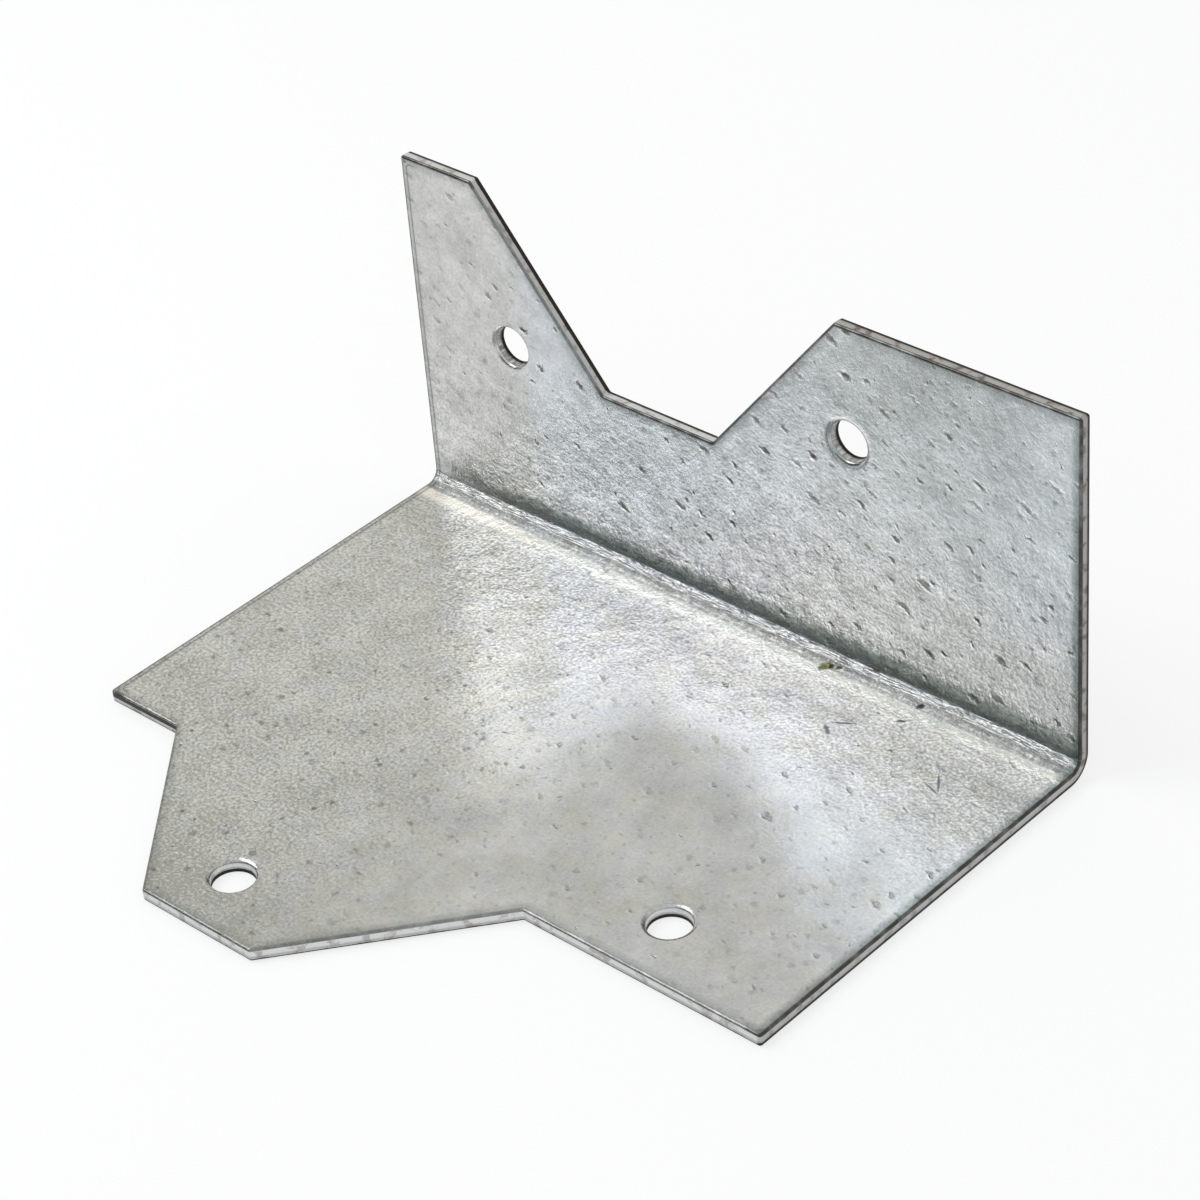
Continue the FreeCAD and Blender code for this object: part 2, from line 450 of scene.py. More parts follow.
@dataclass(frozen=True)
class Finish:
    """What the bracket's two finishes have in common."""

    patches: ClassVar[Patches] = {}
    roughness: ClassVar[Weights] = {}
    relief: ClassVar[Weights] = {}
    name: str
    metallic: float = 1.0

    def start(self, effects: SurfaceEffects) -> tuple[Material, Graph, Node, Feeds]:
        """Starts a material that reads the flat blank's coordinates.

        Args:
            effects: the shared groups.

        Returns:
            The material, its graph, its shader, and what is known of a place on the blank: the blank's
            coordinates, the distances from its cuts, the grain and a mask for each of the finish's patches.
        """
        material = bpy.data.materials.new(self.name)
        material.use_nodes = True
        graph = Graph(material.node_tree)
        shader = graph.find("BSDF_PRINCIPLED")
        at: Feeds = {"all": 1.0}
        outputs = {Carried.FLAT: "Vector", Carried.EDGE_GAP: "Fac", Carried.HOLE_GAP: "Fac"}
        for carried, output in outputs.items():
            attribute = graph.node("ShaderNodeAttribute", attribute_name=carried.value)
            at[carried.value] = attribute.outputs[output]
        flat = at[Carried.FLAT.value]
        x, s, level = graph.separate(flat)
        at |= {"flat": flat, "x": x, "s": s, "level": level}
        at |= graph.place(effects.grain, flat=flat)
        at |= {name: patch.mask(graph, x, s) for name, patch in self.patches.items()}
        return material, graph, shader, at

    def dress(self, graph: Graph, shader: Node, at: Feeds, colour: NodeSocket) -> None:
        """Feeds the shader.

        Args:
            graph: the material's graph.
            shader: its shader.
            at: what is known of a place on the blank, with all that roughness and relief weigh.
            colour: the finished colour.
        """
        bump = {"Distance": MM, "Height": graph.weigh(at, self.relief)}
        graph.feed(shader.inputs["Base Color"], colour)
        graph.feed(shader.inputs["Roughness"], graph.weigh(at, self.roughness))
        graph.feed(shader.inputs["Metallic"], self.metallic)
        graph.feed(shader.inputs["Normal"], graph.made("ShaderNodeBump", bump))


@dataclass(frozen=True)
class Stain:
    """A single mark on the skin, by its place on the blank and its half sizes, in millimetres and degrees."""

    x: float
    s: float
    half_length: float
    half_width: float
    turn: float
    shade: Numbers
    cloud: Noise = Noise(0.35, 2.0, 0.6)
    raggedness: float = 1.4
    rim: Ramp = Ramp(0.55, 1.05, 0.9, 0.0)

    def mask(self, graph: Graph, flat: NodeSocket) -> NodeSocket:
        """Marks its blot, with a ragged rim.

        Args:
            graph: the material's graph.
            flat: the place on the blank.

        Returns:
            The mask, on the face inside the fold.
        """
        x, s, level = graph.separate(graph.vector("SUBTRACT", flat, (self.x, self.s, 0.0)))
        cosine, sine = math.cos(math.radians(self.turn)), math.sin(math.radians(self.turn))
        along = graph.total((x, cosine / self.half_length), (s, sine / self.half_length))
        across = graph.total((x, -sine / self.half_width), (s, cosine / self.half_width))
        square = graph.math("ADD", graph.product(along, along), graph.product(across, across))
        ragged = graph.ruffle(graph.math("SQRT", square), graph.noise(flat, self.cloud), self.raggedness)
        return graph.product(graph.ramp(ragged, self.rim), graph.ramp(level, INSIDE_FACE))


@dataclass(frozen=True)
class GalvanisedSkin(Finish):
    """Hot-dip zinc on both faces: satin, mottled, pitted and tarnished along the cuts, with painted shade in
    the crease of the bend and painted highlights on it and beside the pits.
    """

    name: str = "galvanised skin"
    # Colours of the zinc, of the marks on it and of its tints
    deep: Numbers = (0.385, 0.386, 0.362, 1.0)
    pale: Numbers = (0.743, 0.744, 0.744, 1.0)
    pit: Numbers = (0.06, 0.065, 0.058, 1.0)
    # painted highlight: the glints beside the pits and the bright dashes on the pressed flat
    ridge: Numbers = (0.95, 0.95, 0.94, 1.0)
    speck: Numbers = (0.15, 0.145, 0.115, 1.0)
    rim: Numbers = (0.045, 0.04, 0.033, 1.0)
    # tarnish along the cuts at the right end, painted shade in the crease above the bend, and a darker tone
    # low on the standing leg
    worked: Numbers = (0.105, 0.145, 0.132, 1.0)
    pressed: Numbers = (0.12, 0.125, 0.12, 1.0)
    # painted shade in the crease below the pressed flat and in front of the bend
    foot: Numbers = (0.122, 0.145, 0.145, 1.0)
    cream: Numbers = (0.955, 0.915, 0.84, 1.0)
    blued: Numbers = (0.958, 1.0, 1.025, 1.0)
    azure: Numbers = (1.0, 1.045, 1.12, 1.0)
    warmed: Numbers = (1.05, 0.99, 0.95, 1.0)
    cool: Numbers = (0.982, 0.995, 1.03, 1.0)
    warm: Numbers = (1.01, 1.005, 0.966, 1.0)
    # Single marks near the bend
    stains: tuple[Stain, ...] = (
        Stain(11.4, -1.7, 1.0, 0.6, 60.0, (0.13, 0.12, 0.04, 1.0)),
        Stain(11.9, -1.4, 0.4, 0.3, 40.0, (0.015, 0.015, 0.01, 1.0)),
        Stain(12.6, -1.2, 0.35, 0.28, 40.0, (0.02, 0.02, 0.015, 1.0)),
        Stain(16.2, 0.95, 0.6, 0.3, 0.0, (0.09, 0.045, 0.035, 1.0)),
        Stain(21.9, -1.4, 0.5, 0.36, 60.0, (0.008, 0.008, 0.008, 1.0)),
        Stain(21.8, -4.0, 0.6, 0.22, 40.0, (0.03, 0.03, 0.03, 1.0)),
        Stain(17.8, -7.3, 1.2, 0.14, 32.0, (0.1, 0.105, 0.11, 1.0)),
        Stain(17.3, -8.8, 0.9, 0.25, -41.0, (0.12, 0.125, 0.13, 1.0)),
        Stain(29.6, -8.9, 1.7, 0.13, -54.0, (0.14, 0.145, 0.15, 1.0)),
        Stain(29.5, -9.9, 1.1, 0.13, -18.0, (0.15, 0.155, 0.16, 1.0)),
    )
    # Where the finish changes on the legs, and then inside the bend
    patches: ClassVar[Patches] = {
        "standing": Patch(across=(STANDING_LEG,)),
        "lively": Patch(across=(Ramp(-22.0, -5.0), fall(5.0, 22.0))),
        "left end": Patch(along=(fall(-37.0, -36.0),)),
        "right end": Patch(along=(Ramp(36.0, 37.0),)),
        "flecked": Patch(along=(Ramp(-32.0, -24.0, 0.45, 1.0),)),
        "speckled": Patch(along=(fall(-14.0, 8.0, 0.4),), across=(fall(-28.0, -16.0, 0.45),)),
        "toothed": Patch(along=(fall(-16.0, 6.0),), across=(FLOOR_LEG,)),
        "dented": Patch(along=(fall(8.0, 26.0),), across=(STANDING_LEG,)),
        "far end": Patch(along=(Ramp(27.0, 36.0),), across=(STANDING_LEG,)),
        # darker towards the front of the floor leg
        "darker front": Patch(across=(fall(-60.0, -44.0),)),
        # darker on the floor leg towards its right end
        "darker right floor": Patch(along=(Ramp(22.0, 35.0),), across=(Ramp(-24.0, -12.0), FLOOR_LEG)),
        "worn left": Patch(along=(fall(-4.0, 8.0),), across=(fall(-40.0, -28.0),)),
        # painted light: the fan that the standing leg's reflection lights on the floor leg
        "painted fan light": Patch((Ramp(-12.0, 2.0), fall(14.0, 24.0)), (Ramp(-20.0, -13.0), fall(-6.0, -4.0))),
        "blued": Patch(along=(Ramp(-28.0, -20.0),), across=(STANDING_LEG,)),
        "far blue": Patch(along=(Ramp(0.0, 20.0),)),
        "warmed": Patch(along=(Ramp(-22.0, 2.0),), across=(Ramp(-22.0, -5.0), FLOOR_LEG)),
        "tab slope": Patch(along=(Ramp(-29.4, -28.6), fall(-16.0, -15.0))),
        "wide tab": Patch(along=(Ramp(-10.0, 5.0),), across=(STANDING_LEG,)),
    }
    bend_patches: ClassVar[Patches] = {
        "pressed": Patch(across=(Ramp(-0.65, -0.4), fall(0.9, 1.1))),
        # painted shade in the crease, below the pressed flat
        "foot": Patch(across=(Ramp(-2.1, -1.5), fall(-0.75, -0.45))),
        "cream": Patch(across=(Ramp(-3.7, -2.8), fall(-2.1, -1.7))),
        # faint painted shade in front of the bend
        "painted apron shade": Patch(across=(Ramp(-10.0, -6.0), fall(-3.7, -2.8))),
        # painted shade in the crease above the bend: a thin line and a ragged dark band
        "bend line": Patch(across=(Ramp(0.99, 1.09), fall(1.15, 1.25))),
        "bend band": Patch((Ramp(-38.0, -24.0, 0.45, 1.0),), (Ramp(1.0, 1.2), Ramp(1.2, 2.4, 0.72, 1.0))),
        # darker low on the standing leg, towards the bend
        "skirt": Patch(along=(Ramp(-20.0, -8.0),), across=(Ramp(3.5, 7.0), fall(9.0, 20.0))),
        "crazing": Patch(across=(Ramp(-2.2, -0.9), fall(0.9, 2.2))),
        "streaks": Patch(across=(Ramp(-5.0, -2.5), fall(2.5, 5.0))),
    }
    # Marks of the bend
    streak_stretch: Numbers = (1.5, 0.5, 0.0)
    streak_cloud: Noise = Noise(1.0, 4.0, 0.7)
    craze_stretch: Numbers = (0.6, 4.6, 0.0)
    craze_cloud: Noise = Noise(1.0, 3.0, 0.7)
    craze_dark: Ramp = fall(0.4, 0.5)
    # where the crazing is painted as highlight on the pressed flat
    highlight_crazing: Ramp = Ramp(0.48, 0.6)
    # breaks in the painted shade below the pressed flat
    crease_shade_breaks: Ramp = Ramp(0.38, 0.6, 0.65, 1.0)
    # the painted shade above the bend: how ragged it is, how it widens along the bend and where its top fades
    crease_shade_raggedness: float = 1.8
    crease_shade_widening: Ramp = Ramp(-5.0, 25.0, 0.0, -0.4)
    crease_shade_top: Ramp = fall(2.2, 3.6)
    # Pits and specks, with their shares on the floor leg and on the standing leg
    flecks: Scatter = Scatter(spacing=2.0, share=0.8, reach=0.4, stretch=2.4)
    fleck_shares: Pair = (0.3, 1.0)
    # painted glints: a bright copy of the pits, shifted to one side of each
    glint_shift: Numbers = (0.15, 0.27, 0.0)
    specks: Scatter = Scatter(spacing=1.35, share=0.65, reach=0.44, stretch=1.25)
    speck_shares: Pair = (1.0, 0.5)
    # Tone and hue
    tooth_left: float = 2.0
    tooth_by_bend: Pair = (1.8, 1.1)
    tooth_least: float = 0.5
    mottle_tone: ClassVar[Weights] = {"lively": 0.6, "dented": 0.45, "all": 0.5}
    mottle_relief: ClassVar[Weights] = {
        "standing": -0.02, "lively": 0.04, "dented": 0.03, "all": 0.035,
    }
    # the painted fan light raises the tone on the floor leg
    tones: ClassVar[Weights] = {
        "worn left": -0.09, "painted fan light": 0.11, "Bloom": 0.8, "mottled": 1.0, "all": 0.1,
        "tooth": 1.0, "darker front": -0.26, "darker right floor": -0.16, "far end": 0.3,
    }
    hue_cloud: Noise = Noise(3.0, 3.0, 0.6)
    hue_drift: float = -0.003
    hue_spread: Ramp = Ramp(0.3, 0.7)
    hue_shares: Pair = (1.0, 0.1)
    # Tarnish along the cuts, by the distance from the cut in millimetres
    tarnish_lip: float = 0.38
    tarnish_reach: float = 1.2
    tarnish_shares: Pair = (0.28, 0.58)
    crease_gap: float = 0.68
    crease: Ramp = Ramp(0.05, 0.13, 0.45, 0.0)
    lip_shares: Pair = (0.52, 0.92)
    slope_lip_loss: float = 0.4
    ring_gap: float = 0.3
    ring: Ramp = fall(0.03, 0.1)
    ring_shares: Pair = (0.1, 0.35)
    hole_lip: Ramp = fall(0.2, 0.3)
    hole_lip_share: float = 0.25
    # Gloss, and the height of the relief in millimetres
    roughness: ClassVar[Weights] = {"Mottle": 0.12, "pits": 0.2, "Line": 0.1, "all": 0.16}
    relief: ClassVar[Weights] = {
        "Bloom": 0.08, "mottle relief": 1.0, "Tooth": 0.008, "pits": -0.1, "specks": -0.03,
        "crazing": 0.1, "streaks": 0.1,
    }

    def bend_marks(self, graph: Graph, at: Feeds) -> Sockets:
        """Marks the inside of the bend: a pressed flat with painted highlights, a dull foot and a dark band
        above it that are painted shade in the crease, and crazing.

        Args:
            graph: the material's graph.
            at: what is known of a place on the blank.

        Returns:
            Their masks by name, with the crazing and the streaks as heights.
        """
        x, s = at["x"], at["s"]
        streaks = graph.noise(graph.vector("MULTIPLY", at["flat"], self.streak_stretch), self.streak_cloud)
        crazing = graph.noise(graph.vector("MULTIPLY", at["flat"], self.craze_stretch), self.craze_cloud)
        ragged = graph.ruffle(s, streaks, self.crease_shade_raggedness)
        ragged = graph.math("ADD", ragged, graph.ramp(x, self.crease_shade_widening))
        marks = {name: patch.mask(graph, x, s) for name, patch in self.bend_patches.items()}
        # painted highlight: the bright crazing on the pressed flat
        marks["painted bend highlight"] = graph.product(marks["pressed"], graph.ramp(crazing, self.highlight_crazing))
        detail = {
            "pressed": graph.ramp(crazing, self.craze_dark),
            "foot": graph.ramp(streaks, self.crease_shade_breaks),
            "bend band": graph.ramp(ragged, self.crease_shade_top),
            "crazing": crazing,
            "streaks": streaks,
        }
        marks |= {name: graph.product(marks[name], share) for name, share in detail.items()}
        inside = graph.ramp(at["level"], INSIDE_FACE)
        return {name: graph.product(mark, inside) for name, mark in marks.items()}

    def pits_and_specks(self, graph: Graph, effects: SurfaceEffects, at: Feeds) -> Sockets:
        """Scatters the coating's pits, painted glints on one side of them and its specks.

        Args:
            graph: the material's graph.
            effects: the shared groups.
            at: what is known of a place on the blank.

        Returns:
            Their masks by name.
        """
        flat, standing = at["flat"], at["standing"]
        beside = graph.vector("ADD", flat, self.glint_shift)
        legs = graph.product(graph.between(standing, *self.fleck_shares), at["flecked"])
        found = {}
        # the shifted copy of the pits is the painted glints
        for name, place in (("pits", flat), ("painted glints", beside)):
            mask = graph.place(effects.pits, flat=place, **asdict(self.flecks))["Mask"]
            found[name] = graph.product(mask, legs)
        mask = graph.place(effects.pits, flat=flat, **asdict(self.specks))["Mask"]
        sparse = graph.math("MAXIMUM", at["speckled"], standing)
        found["specks"] = graph.product(mask, sparse, graph.between(standing, *self.speck_shares))
        return found

    def zinc(self, graph: Graph, at: Feeds) -> NodeSocket:
        """Colours the bare zinc.

        Args:
            graph: the material's graph.
            at: what is known of a place on the blank.

        Returns:
            The colour.
        """
        standing, lively = at["standing"], at["lively"]
        by_bend = graph.product(lively, graph.between(standing, *self.tooth_by_bend))
        toothed = graph.math("MAXIMUM", graph.product(at["toothed"], self.tooth_left), by_bend)
        tooth = graph.product(graph.centred(at["Tooth"]), graph.math("ADD", toothed, self.tooth_least))
        mottled = graph.product(graph.centred(at["Mottle"]), graph.weigh(at, self.mottle_tone))
        tone = graph.weigh(at | {"tooth": tooth, "mottled": mottled}, self.tones)
        hue = graph.total((graph.noise(at["flat"], self.hue_cloud), 1.0), (at["x"], self.hue_drift))
        tint = graph.mix(graph.ramp(hue, self.hue_spread), self.cool, self.warm)
        blue = graph.mix(at["far blue"], self.azure, self.blued)
        colour = graph.mix(tone, self.deep, self.pale)
        tinted = graph.between(standing, *self.hue_shares)
        for share, shade in ((tinted, tint), (at["blued"], blue), (at["warmed"], self.warmed)):
            colour = graph.mix(share, colour, shade, "MULTIPLY")
        return colour

    def wear(self) -> tuple[tuple[str, float, Numbers], ...]:
        """Lists the layers of wear, painted highlight and painted shade, from the lowest up: each one's mask,
        its strength and its shade.
        """
        return (
            ("pressed", 0.75, self.pressed),
            # painted highlight on the pressed flat
            ("painted bend highlight", 0.85, self.ridge),
            ("cream", 0.75, self.cream),
            # painted shade in front of the bend and in the crease below the pressed flat
            ("painted apron shade", 0.1, self.foot),
            ("foot", 0.72, self.foot),
            # darker low on the standing leg
            ("skirt", 0.16, self.worked),
            # painted shade in the crease above the bend
            ("bend band", 0.7, self.worked),
            ("bend line", 0.5, self.worked),
            ("specks", 0.85, self.speck),
            # painted glints beside the pits
            ("painted glints", 0.75, self.ridge),
            ("pits", 1.0, self.pit),
        )

    def rims(self, graph: Graph, at: Feeds) -> tuple[tuple[NodeSocket, Numbers], ...]:
        """Marks the tarnish along the outline and the rims of the nail holes.

        Args:
            graph: the material's graph.
            at: what is known of a place on the blank.

        Returns:
            Each mark's mask and its shade, from the lowest up.
        """
        gap, hole = at[Carried.EDGE_GAP.value], at[Carried.HOLE_GAP.value]
        left, right, wide_tab = at["left end"], at["right end"], at["wide tab"]
        ring = graph.beside(hole, self.ring_gap, self.ring)
        lip_least, lip_most = self.lip_shares
        sloped = graph.product(at["tab slope"], self.slope_lip_loss)
        rimmed = graph.product(at["standing"], graph.math("SUBTRACT", lip_most, sloped))
        ends = graph.between(graph.math("MAXIMUM", left, right), lip_least, lip_most)
        return (
            (graph.product(at["Band"], graph.between(right, *self.tarnish_shares)), self.worked),
            (graph.product(graph.beside(gap, self.crease_gap, self.crease), left), self.rim),
            (graph.product(at["Line"], graph.math("MAXIMUM", rimmed, ends)), self.rim),
            (graph.product(graph.ramp(hole, self.hole_lip), wide_tab, self.hole_lip_share), self.speck),
            (graph.product(ring, graph.between(wide_tab, *self.ring_shares)), self.rim),
        )

    def material(self, effects: SurfaceEffects) -> Material:
        """Builds the finish.

        Args:
            effects: the shared groups.

        Returns:
            The material.
        """
        material, graph, shader, at = self.start(effects)
        flat, gap = at["flat"], at[Carried.EDGE_GAP.value]
        sizes = {"lip": self.tarnish_lip, "reach": self.tarnish_reach}
        at |= graph.place(effects.tarnish, flat=flat, edge_gap=gap, **sizes)
        at |= self.pits_and_specks(graph, effects, at)
        at |= self.bend_marks(graph, at)
        colour = self.zinc(graph, at)
        for mark, strength, shade in self.wear():
            colour = graph.mix(graph.product(at[mark], strength), colour, shade)
        for stain in self.stains:
            colour = graph.mix(stain.mask(graph, flat), colour, stain.shade)
        for mask, shade in self.rims(graph, at):
            colour = graph.mix(mask, colour, shade)
        at["mottle relief"] = graph.product(at["Mottle"], graph.weigh(at, self.mottle_relief))
        self.dress(graph, shader, at, colour)
        return material


@dataclass(frozen=True)
class ShearedEdge(Finish):
    """The cut wall: pale under the lip, torn and spotted below, black where the punch came out."""

    name: str = "sheared edge"
    burnished: Numbers = (0.68, 0.68, 0.68, 1.0)
    torn: Numbers = (0.52, 0.52, 0.51, 1.0)
    spot: Numbers = (0.13, 0.10, 0.072, 1.0)
    # near black on the standing holes' walls, the ends, the slopes and the left step, and along the exit edge
    soot: Numbers = (0.024, 0.022, 0.02, 1.0)
    patches: ClassVar[Patches] = {
        "standing": Patch(across=(STANDING_LEG,)),
        "wide tab": Patch(along=(Ramp(8.0, 12.0),), across=(STANDING_LEG,)),
        "right end": Patch(along=(Ramp(37.6, 37.9),)),
        "tab slope": Patch(along=(Ramp(-29.6, -29.2), fall(-15.2, -14.8))),
        "left step": Patch(along=(fall(-29.3, -29.0),), across=(fall(-30.0, -28.0),)),
    }
    punched_gap: Ramp = Ramp(0.5, 0.9)
    drag_stretch: Numbers = (4.0, 4.0, 0.35)
    drag_cloud: Noise = Noise(1.0, 3.0, 0.6)
    drag_dull: Ramp = Ramp(0.4, 0.6, 0.1, 0.6)
    torn_raggedness: float = 0.3
    torn_levels: Ramp = fall(-0.22, -0.06)
    spotting: Ramp = Ramp(0.5, 0.65, 0.0, 0.45)
    aged_share: float = 0.4
    end_shares: Pair = (0.35, 0.2)
    slope_share: float = 0.3
    step_levels: Ramp = Ramp(-0.14, -0.02, 0.0, 0.97)
    exit_level: float = 0.65
    exit_line: ClassVar[Weights] = {"thick": 0.2, "slope": 0.16, "all": 0.15, "Mottle": 0.1}
    exit_edge: Ramp = Ramp(-0.04, 0.04, 0.97, 0.0)
    roughness: ClassVar[Weights] = {"torn": 0.18, "drag": 0.15, "all": 0.31}
    relief: ClassVar[Weights] = {"drag": 0.03, "torn tooth": 0.05}

    def material(self, effects: SurfaceEffects) -> Material:
        """Builds the finish.

        Args:
            effects: the shared groups.

        Returns:
            The material.
        """
        material, graph, shader, at = self.start(effects)
        level, standing, mottle = at["level"], at["standing"], at["Mottle"]
        punched = graph.ramp(at[Carried.EDGE_GAP.value], self.punched_gap)
        drag = graph.noise(graph.vector("MULTIPLY", at["flat"], self.drag_stretch), self.drag_cloud)
        torn = graph.ramp(graph.ruffle(level, mottle, self.torn_raggedness), self.torn_levels)
        aged = graph.product(at["wide tab"], graph.math("SUBTRACT", 1.0, punched), self.aged_share)
        slope = graph.product(at["tab slope"], graph.math("SUBTRACT", standing, punched))
        thick = graph.math("MAXIMUM", graph.math("MAXIMUM", standing, punched), at["right end"])
        at |= {"drag": drag, "torn": torn, "slope": slope, "thick": thick}
        at["torn tooth"] = graph.product(at["Tooth"], torn)
        raised = graph.math("ADD", level, self.exit_level)
        up = graph.math("SUBTRACT", raised, graph.weigh(at, self.exit_line))
        colour = graph.mix(torn, self.burnished, self.torn)
        colour = graph.mix(graph.math("ADD", graph.ramp(mottle, self.spotting), aged), colour, self.spot)
        darkenings = (
            graph.product(punched, standing, graph.ramp(drag, self.drag_dull)),
            graph.product(at["right end"], graph.between(standing, *self.end_shares)),
            graph.product(slope, self.slope_share),
            graph.product(at["left step"], graph.ramp(level, self.step_levels)),
            graph.ramp(up, self.exit_edge),
        )
        for share in darkenings:
            colour = graph.mix(share, colour, self.soot)
        self.dress(graph, shader, at, colour)
        return material


def add_object(name: str, data: ID) -> Object:
    """Adds an object to the scene.

    Args:
        name: its name.
        data: what it holds.

    Returns:
        The object.
    """
    added = bpy.data.objects.new(name, data)
    bpy.context.scene.collection.objects.link(added)
    return added


@dataclass(frozen=True)
class CutSection:
    """The profile of a punched edge, from the face the punch enters to the one it leaves, in millimetres."""

    thickness: float
    lip_width: float = 0.28
    lip_depth: float = 0.22
    burnish: float = 0.5
    fracture_inset: float = 0.05
    exit_bevel: float = 0.05
    lip_steps: int = 6

    def rows(self) -> list[Pair]:
        """Works out the profile.

        Returns:
            Each row's inset from the outline and its height over the middle of the sheet.
        """
        top = self.thickness / 2
        turns = [RIGHT_ANGLE * step / self.lip_steps for step in range(self.lip_steps + 1)]
        lip = [(self.lip_width * (1 - math.sin(a)), top - self.lip_depth * (1 - math.cos(a))) for a in turns]
        burnish_end = top - self.lip_depth - self.burnish
        foot = self.exit_bevel - top
        halfway = (self.fracture_inset / 2, (burnish_end + foot) / 2)
        wall = [(0.0, burnish_end), halfway, (self.fracture_inset, foot)]
        return lip + wall + [(self.fracture_inset + self.exit_bevel, -top)]


@dataclass(frozen=True)
class Loop:
    """A closed line of complex points on the blank, with the direction that leaves the metal at each."""

    points: np.ndarray
    outward: np.ndarray
    section: CutSection

    def inset(self, distance: float) -> np.ndarray:
        """Gives the line moved into the metal by a distance."""
        return self.points - distance * self.outward

    def stations(self) -> np.ndarray:
        """Gives the distance run along the line at each point, and at its first point again."""
        runs = abs(np.roll(self.points, -1) - self.points)
        return np.concatenate([[0.0], np.cumsum(runs)])


@dataclass
class BakeSheet:
    """Where each part of the blank lies on the map that its finish is baked to, in millimetres."""

    side: float = 160.0
    margin: float = 1.5
    strip_height: float = 3.0
    strip_length: float = 150.0
    strips_start: float = 102.0
    strips_used: int = 0

    def skin(self, points: np.ndarray, offset: complex) -> np.ndarray:
        """Places points of a skin by the offset of its lower left corner."""
        return (points + offset + complex(self.margin, self.margin)) / self.side

    def strip(self, run: float, across: float) -> complex:
        """Places a point of a rim.

        Args:
            run: its run along the cut.
            across: its place across the cut.

        Returns:
            Its place on the map.
        """
        row, along = divmod(run, self.strip_length)
        level = self.strips_start + self.strip_height * (self.strips_used + row) + across
        return complex(self.margin + along, level) / self.side


